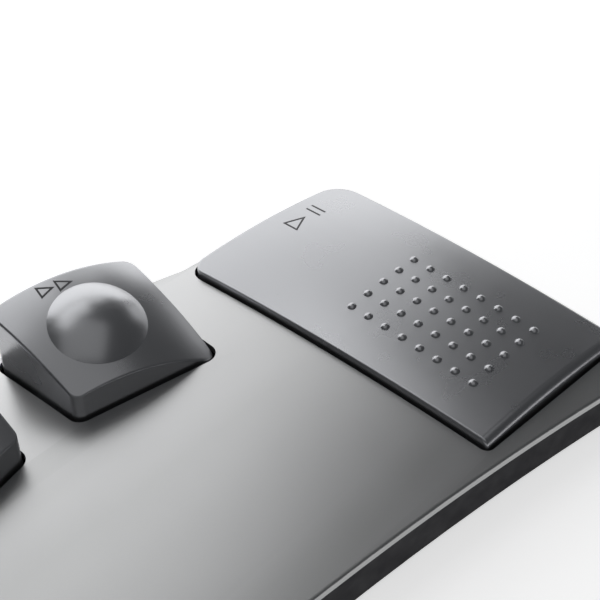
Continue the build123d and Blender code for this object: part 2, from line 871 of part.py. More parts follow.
def gland_ring(y_low, y_high, radius):
    return Pos(lobe_x, (y_low + y_high) / 2, gland_z) * Rot(90, 0, 0) * Cylinder(radius, y_high - y_low)


def cable_gland():
    """A rubber bush in the back wall with a flange on each side of the wall."""
    outer_end = back_y + gland_flange_thick
    wall_end = back_y - base_wall - slip
    inner_end = wall_end - gland_inner_thick
    bush = gland_ring(back_y, outer_end, gland_flange_radius)
    bush = fillet(bush.edges().group_by(Axis.Y)[-1], radius=gland_round)
    bush += gland_ring(wall_end, back_y, gland_radius)
    bush += gland_ring(inner_end, wall_end, gland_inner_radius)
    return bush - gland_ring(inner_end, outer_end, gland_bore)


def foot_pads():
    height = foot_stand + foot_recess
    return [disc(x, y, 0, foot_radius, height) for x, y in foot_places()]


def stop_pads():
    """Rubber pads on the floor that the edges of the pedals come down on."""
    pads = []
    half = pad_length / 2
    swing = play_front_y - play_front_skew - play_pin_y
    low_z = play_skirt_z + swing * math.sin(math.radians(play_turn))
    y_low = play_pad_inset - pad_width / 2
    for side in (-1, 1):
        middle = side * play_pad_apart / 2
        pad = block(middle - half, middle + half, y_low, y_low + pad_width, floor_z, low_z - pad_gap)
        pads.append(play_front_frame * pad)
    back = wedge_length - wedge_pin_inset
    wedge_low_z = wedge_skirt_z - back * math.sin(math.radians(wedge_turn))
    y_high = back - wedge_pad_inset
    pad = block(-half, half, y_high - pad_width, y_high, floor_z, wedge_low_z - pad_gap)
    pad = pedal_hinge_frame * pad
    return pads + [pad, rewind_side(pad)]


def cover_screws():
    low = foot_stand + screw_recess_deep
    screws = []
    for x, y in cover_places():
        screw = disc(x, y, low - screw_head_high, screw_head_radius, screw_head_high)
        screws.append(screw + disc(x, y, low, screw_radius, screw_length))
    return screws


board_top_z = floor_z + board_post_high + board_thick


def on_board(x, y, length, width, height):
    """A block that stands on the board, placed from the middle of the board."""
    low_x = board_x + x - length / 2
    low_y = board_y + y - width / 2
    return block(low_x, low_x + length, low_y, low_y + width, board_top_z, board_top_z + height)


def circuit_board():
    low = floor_z + board_post_high
    board = Pos(0, 0, -board_thick) * on_board(0, 0, board_width, board_depth, board_thick)
    for x, y in board_places():
        board -= disc(x, y, low, board_screw_radius + slip, board_thick)
    return board


def board_screws():
    reach = board_thick + board_screw_bite - slip
    screws = []
    for x, y in board_places():
        head = disc(x, y, board_top_z, board_screw_head, board_screw_head_high)
        screws.append(head + disc(x, y, board_top_z - reach, board_screw_radius, reach))
    return screws


def controller_chip():
    return on_board(-chip_offset, 0, chip_size, chip_size, chip_high)


def crystal():
    can = on_board(crystal_offset, crystal_lift, crystal_length, crystal_width, crystal_high)
    return fillet(can.edges().filter_by(Axis.Z), radius=crystal_width / 3)


def cable_header():
    y = board_depth / 2 - header_inset
    header = on_board(-chip_offset, y, header_length, header_width, header_high)
    inner_length = header_length - 2 * header_wall
    inner_width = header_width - 2 * header_wall
    well = Pos(0, 0, header_wall) * on_board(-chip_offset, y, inner_length, inner_width, header_high)
    return header - well


def small_parts():
    pieces = []
    for step in range(small_count):
        x = crystal_offset - chip_size / 2 + step * small_pitch - small_pitch
        pieces.append(on_board(x, -small_row, small_length, small_width, small_high))
    return pieces


def ballast_plate():
    half_x, half_y = ballast_width / 2, ballast_depth / 2
    x_low, y_low = ballast_x - half_x, ballast_y - half_y
    box = (x_low, x_low + ballast_width, y_low, y_low + ballast_depth)
    plate = block(*box, floor_z, floor_z + ballast_thick)
    plate = fillet(plate.edges().filter_by(Axis.Z), radius=ballast_corner)
    for x, y in ballast_places():
        plate -= disc(x, y, floor_z, ballast_screw_radius + slip, ballast_thick)
    return plate


def ballast_screws():
    top = floor_z + ballast_thick
    reach = ballast_thick + ballast_screw_bite - slip
    screws = []
    for x, y in ballast_places():
        head = disc(x, y, top, ballast_screw_head, ballast_screw_head_high)
        screws.append(head + disc(x, y, top - reach, ballast_screw_radius, reach))
    return screws


def write(name, *pieces):
    """One file for one node; a group of separate solids goes in as a compound."""
    solids = [solid for piece in pieces for solid in piece.solids()]
    shape = solids[0] if len(solids) == 1 else Compound(children=solids)
    shape.label = name
    export_step(shape, os.path.join("parts", name + ".step"))


def write_all():
    os.makedirs("parts", exist_ok=True)
    play_hinge = Pos(*play_axis)
    wedge_hinge = pedal_hinge_frame * Pos(0, 0, wedge_pin_z)
    write("base_shell", base_shell())
    write("top_cover", top_cover())
    write("play_pedal", play_pedal())
    forward = wedge_pedal()
    write("forward_pedal", forward)
    write("rewind_pedal", rewind_side(forward))
    write("play_hinge_pin", play_hinge * hinge_pin(play_pin_half))
    forward_pin = wedge_hinge * hinge_pin(wedge_pin_half)
    write("forward_hinge_pin", forward_pin)
    write("rewind_hinge_pin", rewind_side(forward_pin))
    clips = [play_hinge * clip for clip in pin_clips(play_pin_half)]
    forward_clips = [wedge_hinge * clip for clip in pin_clips(wedge_pin_half)]
    write("pin_clips", *clips, *forward_clips, *[rewind_side(clip) for clip in forward_clips])
    write("play_springs", *[spring_coil(x, y, play_spring_low) for x, y in play_spring_places])
    forward_spring = spring_coil(wedge_spring_x, wedge_spring_y, wedge_spring_low)
    write("forward_spring", forward_spring)
    write("rewind_spring", rewind_side(forward_spring))
    switch = {"switch": switch_body(), "lever": switch_lever(), "plunger": switch_plunger()}
    for name, piece in switch.items():
        write("play_" + name, play_switch_frame * piece)
        forward_piece = wedge_switch_frame * piece
        write("forward_" + name, forward_piece)
        write("rewind_" + name, rewind_side(forward_piece))
    for name, pieces in (("screws", switch_screws()), ("terminals", switch_terminals())):
        group = [play_switch_frame * piece for piece in pieces]
        for piece in pieces:
            forward_piece = wedge_switch_frame * piece
            group += [forward_piece, rewind_side(forward_piece)]
        write("switch_" + name, *group)
    write("stop_pads", *stop_pads())
    write("circuit_board", circuit_board())
    write("controller_chip", controller_chip())
    write("crystal", crystal())
    write("small_parts", *small_parts())
    write("cable_header", cable_header())
    write("board_screws", *board_screws())
    write("ballast_plate", ballast_plate())
    write("ballast_screws", *ballast_screws())
    write("cover_screws", *cover_screws())
    write("rubber_feet", *foot_pads())
    write("cable_gland", cable_gland())


def print_motion():
    """The places and ratios that the record of moving parts needs."""
    contact = play_drop / math.radians(play_turn)
    print("play axis", play_axis)
    print("wedge axis", (wedge_frame * Pos(0, wedge_pin_inset, wedge_pin_z)).position, wedge_turned)
    print("lever turns", math.degrees(play_lever_turn), math.degrees(wedge_lever_turn))
    print("lever ratios", contact / contact_reach, wedge_lever_turn / math.radians(wedge_turn))
    play_push, wedge_push = plunger_travel(play_lever_turn), plunger_travel(wedge_lever_turn)
    print("plunger travel", play_push, wedge_push)
    print("plunger per radian", play_push / math.radians(play_turn), wedge_push / math.radians(wedge_turn))
    for frame in (play_switch_frame, wedge_switch_frame):
        print("lever pivot", (frame * Pos(0, lever_pivot_y, lever_pivot_z)).position)
        print("plunger", (frame * Pos(0, lever_pivot_y + plunger_reach, switch_top_z)).position)
    gap = spring_length / spring_turns - 2 * wire_radius
    print("least gap between the turns of a spring", round(gap, 2))
    print("first foot", foot_places()[0])
    print("gland", (lobe_x, back_y, gland_z), "line between the wedges", lobe_x)
    print("body", body_width, body_depth, "grid centre", (play_x, play_y, play_crest_z))


write_all()
print_motion()
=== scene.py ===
# %% [markdown]
# # A foot control with three pedals
# The real object is a low box on rubber feet, with a silver cover, one wide pedal on the right and a pair
# of domed wedges on the left. Its shapes come from CAD. A scene could model them again, but the moving
# parts would then drift from the imported ones. So the imported parts are loaded and dressed here,
# and only two things are added: copies of the springs, and printed signs.

# %% Load the imported parts
import json
import math
import bpy
import bmesh
from mathutils import Matrix, Vector


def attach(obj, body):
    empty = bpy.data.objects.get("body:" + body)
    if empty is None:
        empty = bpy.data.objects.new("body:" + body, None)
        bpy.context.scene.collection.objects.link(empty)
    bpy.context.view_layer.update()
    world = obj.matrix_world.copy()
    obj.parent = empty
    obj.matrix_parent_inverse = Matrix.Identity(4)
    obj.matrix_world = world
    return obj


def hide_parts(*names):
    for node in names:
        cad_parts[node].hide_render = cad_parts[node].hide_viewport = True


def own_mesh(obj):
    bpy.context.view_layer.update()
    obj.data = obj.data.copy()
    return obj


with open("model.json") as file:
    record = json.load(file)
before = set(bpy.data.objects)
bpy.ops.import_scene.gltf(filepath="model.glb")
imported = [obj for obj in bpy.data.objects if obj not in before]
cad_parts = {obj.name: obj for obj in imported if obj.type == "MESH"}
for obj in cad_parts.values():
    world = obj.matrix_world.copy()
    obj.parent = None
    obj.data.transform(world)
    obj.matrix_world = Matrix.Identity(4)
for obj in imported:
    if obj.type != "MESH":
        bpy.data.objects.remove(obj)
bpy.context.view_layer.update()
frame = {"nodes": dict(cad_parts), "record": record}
nodes = frame["nodes"]
MM = 0.001


def add_object(name, data):
    """A new object in the scene, from its mesh, light or camera data."""
    thing = bpy.data.objects.new(name, data)
    bpy.context.scene.collection.objects.link(thing)
    return thing


# %% [markdown]
# ## Smooth shading
# A moulded shell has no facets, but CAD sends flat triangles. Subdividing would change the mesh, which
# has to stay as it is, so only the way that light runs over the faces is changed: faces that meet at a
# gentle angle share their normals, and real edges stay crisp.

# %% Shade the gentle curves smoothly
SMOOTH_LIMIT_DEG = 28

for part in nodes.values():
    part.data.shade_smooth()
    part.data.set_sharp_from_angle(angle=math.radians(SMOOTH_LIMIT_DEG))
print("edges sharper than", SMOOTH_LIMIT_DEG, "degrees stay crisp")

# %% [markdown]
# ## A workbench for finishes
# Each finish on the real product is a base colour with small faults: a grain from the mould, slightly
# uneven gloss, and edges that shoes have polished. Painted images could show them, but they need
# unwrapped parts. Noise in the object's own space needs none and keeps its true size in millimetres, so a
# small set of helpers wires it up once, and every finish below only names its sizes.

# %% Helpers that make a value
NOISE_SPREAD = (0.3, 0.7)
GLOSS_DETAIL = 3.0


def shader_of(material):
    return material.node_tree.nodes["Principled BSDF"]


def noise(material, size_mm, detail, stretch=(1, 1, 1)):
    """Noise with spots of the given size, in the object's own space."""
    tree = material.node_tree
    place = tree.nodes.new("ShaderNodeTexCoord")
    scaled = tree.nodes.new("ShaderNodeMapping")
    scaled.inputs["Scale"].default_value = stretch
    spots = tree.nodes.new("ShaderNodeTexNoise")
    spots.inputs["Scale"].default_value = 1 / (size_mm * MM)
    spots.inputs["Detail"].default_value = detail
    tree.links.new(place.outputs["Object"], scaled.inputs["Vector"])
    tree.links.new(scaled.outputs["Vector"], spots.inputs["Vector"])
    return spots.outputs["Fac"]


def span(material, value, low, high, spread=NOISE_SPREAD):
    """Stretch a value between the two ends of its spread to the range from low to high."""
    tree = material.node_tree
    ranged = tree.nodes.new("ShaderNodeMapRange")
    ranged.inputs["From Min"].default_value = spread[0]
    ranged.inputs["From Max"].default_value = spread[1]
    ranged.inputs["To Min"].default_value = low
    ranged.inputs["To Max"].default_value = high
    tree.links.new(value, ranged.inputs["Value"])
    return ranged.outputs["Result"]


print("noise is taken between", *NOISE_SPREAD)

# %% [markdown]
# ## From values to a finish
# A real coat varies in three ways that the eye can tell apart: how sharply it mirrors, what colour it
# has, and how its skin rises and falls. One big node group could hold them all, with a switch for each. A
# short helper for each way reads better, and a finish then calls only those that it needs.

# %% Helpers that wire a finish
EDGE_SPREAD = (0.53, 0.60)
CONTROLS = ("play", "forward", "rewind")


def new_finish(name, colour, roughness, spots_mm, metallic=0.0, level=0.5, stretch=(1, 1, 1)):
    """A material whose roughness wanders between two values, in spots of the given size."""
    material = bpy.data.materials.new(name)
    material.use_nodes = True
    material.diffuse_color = (*colour, 1)
    shader = shader_of(material)
    shader.inputs["Base Color"].default_value = (*colour, 1)
    shader.inputs["Metallic"].default_value = metallic
    shader.inputs["Specular IOR Level"].default_value = level
    gloss = span(material, noise(material, spots_mm, GLOSS_DETAIL, stretch), *roughness)
    material.node_tree.links.new(gloss, shader.inputs["Roughness"])
    return material


def grain(material, size_mm, strength, depth_mm, detail=2.0, stretch=(1, 1, 1)):
    """A fine raised texture."""
    tree = material.node_tree
    bump = tree.nodes.new("ShaderNodeBump")
    bump.inputs["Strength"].default_value = strength
    bump.inputs["Distance"].default_value = depth_mm * MM
    tree.links.new(noise(material, size_mm, detail, stretch), bump.inputs["Height"])
    tree.links.new(bump.outputs["Normal"], shader_of(material).inputs["Normal"])


def tint(material, factor, colour):
    """Blend another colour into the base where the factor is high."""
    tree = material.node_tree
    base = shader_of(material).inputs["Base Color"]
    blend = tree.nodes.new("ShaderNodeMix")
    blend.data_type = "RGBA"
    blend.inputs["A"].default_value = base.default_value[:]
    if base.is_linked:
        tree.links.new(base.links[0].from_socket, blend.inputs["A"])
    blend.inputs["B"].default_value = (*colour, 1)
    tree.links.new(factor, blend.inputs["Factor"])
    tree.links.new(blend.outputs["Result"], base)


def clouds(material, colour, amount, size_mm, detail=3.0, spread=NOISE_SPREAD):
    """Soft patches of another colour, up to the given amount."""
    patches = span(material, noise(material, size_mm, detail), 0.0, amount, spread)
    tint(material, patches, colour)


def worn_edges(material, colour, amount):
    """Sharp outer edges are a little paler, where they rub."""
    shape = material.node_tree.nodes.new("ShaderNodeNewGeometry")
    edges = span(material, shape.outputs["Pointiness"], 0.0, amount, EDGE_SPREAD)
    tint(material, edges, colour)


def each(piece):
    """The names of a piece that every pedal has."""
    return [f"{control}_{piece}" for control in CONTROLS]


def dress(material, *names):
    """Give a finish to the parts, and say so."""
    for name in names:
        materials = nodes[name].data.materials
        materials.clear()
        materials.append(material)
    print(material.name, "on", ", ".join(names))


print("three controls:", *CONTROLS)

# %% [markdown]
# ## Silver cover
# The cover is moulded plastic under a satin silver paint. Its fine metal flakes mirror a blurred room, so
# the cover goes from pale to mid grey over a hand's width. A plain grey plastic would stay one tone. The
# paint is therefore mostly metallic, with a gloss that wanders a little and a grain finer than a
# fingerprint.

# %% Paint the cover
SILVER = (0.43, 0.435, 0.435)
cover_paint = new_finish("satin_silver_paint", SILVER, roughness=(0.31, 0.33), spots_mm=18.0, metallic=0.88)
clouds(cover_paint, (0.62, 0.62, 0.62), amount=0.06, size_mm=0.25, detail=1.0)
grain(cover_paint, size_mm=0.35, strength=0.06, depth_mm=0.01)
worn_edges(cover_paint, (0.60, 0.60, 0.61), amount=0.35)
dress(cover_paint, "top_cover")

# %% [markdown]
# ## Graphite pedals
# The pedals carry the same sort of satin paint in a darker graphite. The round domes show it best,
# because their top half mirrors the bright sheet behind, so this gloss is a little tighter than on the
# cover. Shoes polish the raised dots, which the paler edge colour hints at.

# %% Paint the pedals
GRAPHITE = (0.40, 0.405, 0.42)
pedal_paint = new_finish(
    "satin_graphite_paint", GRAPHITE, roughness=(0.27, 0.29), spots_mm=16.0, metallic=0.93)
clouds(pedal_paint, (0.50, 0.50, 0.52), amount=0.06, size_mm=0.25, detail=1.0)
grain(pedal_paint, size_mm=0.30, strength=0.05, depth_mm=0.008)
worn_edges(pedal_paint, (0.44, 0.44, 0.455), amount=0.3)
dress(pedal_paint, *each("pedal"))

# %% [markdown]
# ## Black base
# The lower body is bare black plastic with the coarse spark-eroded texture that hides scratches. It could
# be a displacement, but the pits are a few hundredths of a millimetre deep, so a bump is enough. Dust and
# handling leave it slightly greyer in large patches.

# %% Mould the base
BASE_BLACK = (0.008, 0.007, 0.012)
base_plastic = new_finish(
    "textured_black_plastic", BASE_BLACK, roughness=(0.50, 0.64), spots_mm=6.0, level=0.12)
clouds(base_plastic, (0.018, 0.017, 0.021), amount=0.25, size_mm=30.0, detail=4.0)
grain(base_plastic, size_mm=0.45, strength=0.35, depth_mm=0.05, detail=3.0)
worn_edges(base_plastic, (0.06, 0.06, 0.065), amount=0.4)
dress(base_plastic, "base_shell")

# %% [markdown]
# ## Rubber
# The feet, the stop pads and the cable gland are soft black rubber: no shine, a fine skin from the mould,
# and a grey bloom that collects in patches. A low specular level keeps them duller than the metal and the
# paint.

# %% Cast the rubber
rubber = new_finish(
    "moulded_rubber", (0.022, 0.022, 0.024), roughness=(0.74, 0.92), spots_mm=3.0, level=0.25)
clouds(rubber, (0.050, 0.049, 0.048), amount=0.45, size_mm=4.0, detail=4.0)
grain(rubber, size_mm=0.25, strength=0.30, depth_mm=0.03)
dress(rubber, "rubber_feet", "stop_pads", "cable_gland")

# %% [markdown]
# ## Pins, levers, springs and screws
# The hinge pins and levers are ground steel, the springs drawn wire and the screws zinc plated. Each
# mirrors its surroundings, and what tells them apart is the direction and size of their marks: rings
# round a ground pin, long lines along a wire, and a soft blue and yellow cast on zinc. One metal for all
# would look like toy parts. Noise stretched along one axis gives each its marks.

# %% Finish the metal
ground_steel = new_finish(
    "ground_steel", (0.60, 0.60, 0.61), roughness=(0.20, 0.36), spots_mm=0.35, metallic=1.0,
    stretch=(6, 1, 1))
clouds(ground_steel, (0.42, 0.41, 0.40), amount=0.3, size_mm=3.0)
grain(ground_steel, size_mm=0.20, strength=0.25, depth_mm=0.01, stretch=(10, 1, 1))
dress(ground_steel, *each("hinge_pin"), *each("lever"))

spring_wire = new_finish(
    "drawn_spring_wire", (0.44, 0.44, 0.46), roughness=(0.26, 0.44), spots_mm=0.8, metallic=1.0)
clouds(spring_wire, (0.28, 0.25, 0.22), amount=0.4, size_mm=2.2)
grain(spring_wire, size_mm=0.18, strength=0.30, depth_mm=0.01, stretch=(1, 1, 5))
dress(spring_wire, "play_springs", "forward_spring", "rewind_spring", "pin_clips")

zinc = new_finish("zinc_plating", (0.66, 0.67, 0.70), roughness=(0.22, 0.42), spots_mm=1.2, metallic=1.0)
clouds(zinc, (0.70, 0.66, 0.52), amount=0.35, size_mm=1.6)
grain(zinc, size_mm=0.22, strength=0.20, depth_mm=0.015)
worn_edges(zinc, (0.80, 0.80, 0.80), amount=0.5)
dress(zinc, "cover_screws", "board_screws", "switch_screws", "ballast_screws")

# %% [markdown]
# ## Ballast
# A steel plate gives the control its weight, so that a foot doesn't push it away. It is sheared and
# plated, not polished: its colour clouds over, and faint rolling lines run along it. Lines cut into the
# mesh would be far too fine to see, so the noise of its gloss and grain is drawn out along the plate.

# %% Roll the ballast plate
plated_steel = new_finish(
    "rolled_plated_steel", (0.30, 0.30, 0.31), roughness=(0.36, 0.58), spots_mm=5.0, metallic=0.85,
    stretch=(0.3, 1, 1))
clouds(plated_steel, (0.22, 0.21, 0.20), amount=0.5, size_mm=9.0, detail=4.0)
grain(plated_steel, size_mm=0.4, strength=0.25, depth_mm=0.02, stretch=(0.15, 1, 1))
worn_edges(plated_steel, (0.5, 0.5, 0.5), amount=0.6)
dress(plated_steel, "ballast_plate")

# %% [markdown]
# ## Microswitches
# Each pedal works a small switch: a black glass-filled case, a red button and tinned blades. Glass-filled
# plastic is dull with pale flecks, and the button is plain, shinier plastic. Modelled flecks would be
# thousands of specks, so they are a fine noise with a narrow spread, of which only the peaks show.

# %% Mould the switches
FLECK_SPREAD = (0.60, 0.75)

switch_plastic = new_finish(
    "glass_filled_plastic", (0.035, 0.035, 0.04), roughness=(0.42, 0.60), spots_mm=1.0)
clouds(switch_plastic, (0.16, 0.16, 0.16), amount=0.35, size_mm=0.18, detail=1.0, spread=FLECK_SPREAD)
grain(switch_plastic, size_mm=0.25, strength=0.25, depth_mm=0.02)
dress(switch_plastic, *each("switch"))

button_plastic = new_finish("red_button_plastic", (0.55, 0.045, 0.035), roughness=(0.26, 0.40), spots_mm=0.9)
clouds(button_plastic, (0.40, 0.03, 0.03), amount=0.3, size_mm=1.2, detail=2.0)
grain(button_plastic, size_mm=0.3, strength=0.10, depth_mm=0.01)
dress(button_plastic, *each("plunger"))

tinned = new_finish("tinned_brass", (0.66, 0.56, 0.36), roughness=(0.24, 0.46), spots_mm=0.5, metallic=1.0)
clouds(tinned, (0.62, 0.61, 0.58), amount=0.7, size_mm=0.9)
grain(tinned, size_mm=0.2, strength=0.2, depth_mm=0.01)
dress(tinned, "switch_terminals")

# %% [markdown]
# ## Circuit board
# The board is glass cloth under green lacquer, and its copper tracks show through as slightly paler
# lines. A grid of real tracks would be thousands of faces inside a closed box. Bands cut from a wave
# pattern give lines of the right width and pitch in two directions, and a fine grain stands for the weave
# of the cloth.

# %% Lacquer the board
LACQUER_GREEN = (0.018, 0.115, 0.05)
TRACK_GREEN = (0.05, 0.22, 0.09)

# Distance between two bands of a wave texture of scale 1
BAND_PITCH = 0.314


def bands(material, pitch_mm, direction):
    """Even bands across one axis of the object, as a value from 0 to 1."""
    tree = material.node_tree
    place = tree.nodes.new("ShaderNodeTexCoord")
    wave = tree.nodes.new("ShaderNodeTexWave")
    wave.bands_direction = direction
    wave.inputs["Scale"].default_value = BAND_PITCH / (pitch_mm * MM)
    tree.links.new(place.outputs["Object"], wave.inputs["Vector"])
    return wave.outputs["Fac"]


def tracks(material, pitch_mm, direction, amount, spread):
    """Paler lines where the crests of the bands lie within the spread."""
    lines = span(material, bands(material, pitch_mm, direction), 0.0, amount, spread)
    tint(material, lines, TRACK_GREEN)


board_lacquer = new_finish("green_board_lacquer", LACQUER_GREEN, roughness=(0.24, 0.40), spots_mm=4.0)
tracks(board_lacquer, pitch_mm=1.9, direction="X", amount=0.7, spread=(0.80, 0.86))
tracks(board_lacquer, pitch_mm=5.1, direction="Y", amount=0.6, spread=(0.90, 0.93))
grain(board_lacquer, size_mm=0.6, strength=0.15, depth_mm=0.02)
worn_edges(board_lacquer, (0.20, 0.26, 0.14), amount=0.6)
dress(board_lacquer, "circuit_board")

# %% [markdown]
# ## Parts on the board
# A chip in dull black resin, a crystal in a nickel can, a header of cream nylon and small fired ceramic
# parts stand on the board. One grey for all of them would read as a lump, and each real material has a
# mark of its own: the resin is rough, the can brushed and bright, the nylon yellowed, the ceramic sandy.

# %% Finish the parts on the board
chip_resin = new_finish("chip_resin", (0.022, 0.022, 0.024), roughness=(0.50, 0.68), spots_mm=1.4)
grain(chip_resin, size_mm=0.16, strength=0.35, depth_mm=0.02)
worn_edges(chip_resin, (0.07, 0.07, 0.07), amount=0.4)
dress(chip_resin, "controller_chip")

nickel_can = new_finish("nickel_can", (0.70, 0.69, 0.67), roughness=(0.14, 0.30), spots_mm=2.0, metallic=1.0)
clouds(nickel_can, (0.52, 0.51, 0.49), amount=0.3, size_mm=2.5)
grain(nickel_can, size_mm=0.3, strength=0.12, depth_mm=0.01, stretch=(0.2, 1, 1))
dress(nickel_can, "crystal")

header_nylon = new_finish("natural_nylon", (0.70, 0.67, 0.58), roughness=(0.36, 0.52), spots_mm=1.5)
clouds(header_nylon, (0.60, 0.55, 0.43), amount=0.35, size_mm=3.0)
grain(header_nylon, size_mm=0.3, strength=0.15, depth_mm=0.02)
dress(header_nylon, "cable_header")

ceramic = new_finish("fired_ceramic", (0.34, 0.25, 0.16), roughness=(0.38, 0.56), spots_mm=0.5)
clouds(ceramic, (0.24, 0.17, 0.11), amount=0.5, size_mm=0.6, detail=2.0)
grain(ceramic, size_mm=0.15, strength=0.25, depth_mm=0.01)
dress(ceramic, "small_parts")

# %% [markdown]
# ## Springs that stand in
# A return spring gets shorter when its pedal goes down, but a CAD piece can't. An armature could press
# it, yet the pose files know nothing of armatures. So a copy of each spring, with a mesh of its own, is
# hung on the housing in its place, and the imported spring is hidden. The copy keeps its shape here.

# %% Copy the springs
hinges = {hinge["name"]: hinge for hinge in frame["record"]["behaviour"]["joints"]}


def springs_that_give(joint):
    """Copies of a pedal's springs, hung on the housing in place of the hidden originals."""
    hinge = hinges[joint]
    for soft in hinge["deforming_nodes"]:
        still = nodes[soft["node"]]
        spring = add_object(soft["node"] + "_that_gives", still.data.copy())
        spring.matrix_world = still.matrix_world
        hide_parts(soft["node"])
        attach(spring, "housing")
        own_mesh(spring)


for joint in each("press"):
    springs_that_give(joint)

# %% [markdown]
# ## Signs as flat lines
# A sign near the back edge of each pedal tells what it does: triangles and bars that any player uses, in
# thin lines. A font has such signs, but its curves bring hundreds of faces of their own. Here each line
# is a flat band around a few corners, in millimetres, cut into short steps so that it can bend later.

# %% Draw the signs flat
STROKE_MM = 0.62
LINE_STEPS = 10
BAR_STEPS = 8


def inside_line(corners, inset):
    """The same closed shape, drawn in by the inset on every side."""
    count = len(corners)
    inner = []
    for i, corner in enumerate(corners):
        before = (corner - corners[i - 1]).normalized()
        after = (corners[(i + 1) % count] - corner).normalized()
        side = Vector((-before.y, before.x)) + Vector((-after.y, after.x))
        inner.append(corner + side * inset / (side.length_squared / 2))
    return inner


def hollow_triangle(left, width, height):
    """Quads of a closed line that points right, from its left edge."""
    corners = [Vector((left, -height / 2)), Vector((left + width, 0)), Vector((left, height / 2))]
    inner = inside_line(corners, STROKE_MM)
    quads = []
    for i in range(len(corners)):
        j = (i + 1) % len(corners)
        for step in range(LINE_STEPS):
            a, b = step / LINE_STEPS, (step + 1) / LINE_STEPS
            quads.append([
                corners[i].lerp(corners[j], a), corners[i].lerp(corners[j], b),
                inner[i].lerp(inner[j], b), inner[i].lerp(inner[j], a),
            ])
    return quads


def bar(middle, height):
    """Quads of an upright line."""
    low, high = middle - STROKE_MM / 2, middle + STROKE_MM / 2
    quads = []
    for step in range(BAR_STEPS):
        bottom = (step / BAR_STEPS - 0.5) * height
        top = ((step + 1) / BAR_STEPS - 0.5) * height
        quads.append([
            Vector((low, bottom)), Vector((high, bottom)), Vector((high, top)), Vector((low, top)),
        ])
    return quads


play_sign = hollow_triangle(left=-8.0, width=7.6, height=6.6)
for middle in (3.4, 6.0):
    play_sign += bar(middle, height=6.2)

skip_sign = []
for left in (-5.7, 0.3):
    skip_sign += hollow_triangle(left, width=5.4, height=4.9)
print("play sign", len(play_sign), "faces, skip sign", len(skip_sign), "faces")

# %% [markdown]
# ## Signs on the pedals
# On the product the signs are printed with dark ink, a coat that is never quite black or quite even. They
# could be painted in the pedals' material, but a thin raised film has a clean edge at any distance and
# moves with its pedal. Each corner is dropped from above onto the crown, and the film reaches down into
# it.

# %% Print the signs
FILM_MM = 0.05
FILM_THICKNESS_MM = 1.6 * FILM_MM
DROP_HEIGHT_M = 0.1
MIDDLE_LINE_MM = -39.1
PLAY_SIGN_AT_MM = (80.4, 44.8)
FORWARD_SIGN_AT_MM = (-10.2, 61.9)
REWIND_SIGN_AT_MM = (2 * MIDDLE_LINE_MM - FORWARD_SIGN_AT_MM[0], FORWARD_SIGN_AT_MM[1])
FORWARD_TURNED_DEG = -11.9

ink = new_finish("dark_printing_ink", (0.045, 0.045, 0.05), roughness=(0.42, 0.56), spots_mm=0.8)
clouds(ink, (0.075, 0.075, 0.08), amount=0.3, size_mm=0.5)
grain(ink, size_mm=0.2, strength=0.2, depth_mm=0.01)


def printed(name, quads, pedal, middle, turned_deg=0, mirrored=False):
    """Drop the flat quads onto a pedal, as a film of ink."""
    flip = -1 if mirrored else 1
    turned = Matrix.Rotation(math.radians(turned_deg), 2)
    mesh = bmesh.new()
    placed = {}
    for quad in quads:
        corners = []
        for point in quad:
            key = (round(point.x, 4), round(point.y, 4))
            if key not in placed:
                spot = turned @ Vector((flip * point.x, point.y))
                above = Vector(((middle[0] + spot.x) * MM, (middle[1] + spot.y) * MM, DROP_HEIGHT_M))
                _, hit, normal, _ = nodes[pedal].ray_cast(above, Vector((0, 0, -1)))
                placed[key] = mesh.verts.new(hit + normal * FILM_MM * MM)
            corners.append(placed[key])
        mesh.faces.new(corners[::flip])
    data = bpy.data.meshes.new(name)
    mesh.to_mesh(data)
    mesh.free()
    data.materials.append(ink)
    sign = add_object(name, data)
    film = sign.modifiers.new("film", "SOLIDIFY")
    film.thickness = FILM_THICKNESS_MM * MM
    film.offset = -1
    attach(sign, pedal.removesuffix("_pedal"))
    print(name, "on", pedal, "at", middle)


printed("play_sign", play_sign, "play_pedal", PLAY_SIGN_AT_MM)
printed("forward_sign", skip_sign, "forward_pedal", FORWARD_SIGN_AT_MM, FORWARD_TURNED_DEG)
printed("rewind_sign", skip_sign, "rewind_pedal", REWIND_SIGN_AT_MM, -FORWARD_TURNED_DEG, mirrored=True)
print("finished", len(bpy.data.materials), "materials")

# %% [markdown]
# ## Floor
# The control stands on a plain white floor with nothing else around. A lit white sheet would need so much
# light that the silver would burn out. So the floor keeps a normal pale colour for the light that falls
# on it, and adds a little glow of its own only for what the camera and the mirrors see. The shadow stays.
# The floor reaches far out, so that a low view doesn't look past its edge into the dark.

# %% Lay the floor
FLOOR_REACH_M = 60.0
FLOOR_COLOUR = (0.82, 0.82, 0.82, 1)
FLOOR_ROUGHNESS = 0.9
FLOOR_SHINE = 0.1
FLOOR_GLOW = 0.62

floor_mesh = bpy.data.meshes.new("floor")
corners = [(x * FLOOR_REACH_M, y * FLOOR_REACH_M, 0) for x, y in ((-1, -1), (1, -1), (1, 1), (-1, 1))]
floor_mesh.from_pydata(corners, [], [(0, 1, 2, 3)])
floor = add_object("floor", floor_mesh)

floor_paint = bpy.data.materials.new("white_floor")
floor_paint.use_nodes = True
floor.data.materials.append(floor_paint)
floor_shader = shader_of(floor_paint)
floor_shader.inputs["Base Color"].default_value = FLOOR_COLOUR
floor_shader.inputs["Roughness"].default_value = FLOOR_ROUGHNESS
floor_shader.inputs["Specular IOR Level"].default_value = FLOOR_SHINE
floor_shader.inputs["Emission Color"].default_value = (1, 1, 1, 1)


def total(tree, first, second):
    """The sum of two values, held at 1."""
    added = tree.nodes.new("ShaderNodeMath")
    added.operation = "ADD"
    added.use_clamp = True
    tree.links.new(first, added.inputs[0])
    tree.links.new(second, added.inputs[1])
    return added.outputs[0]


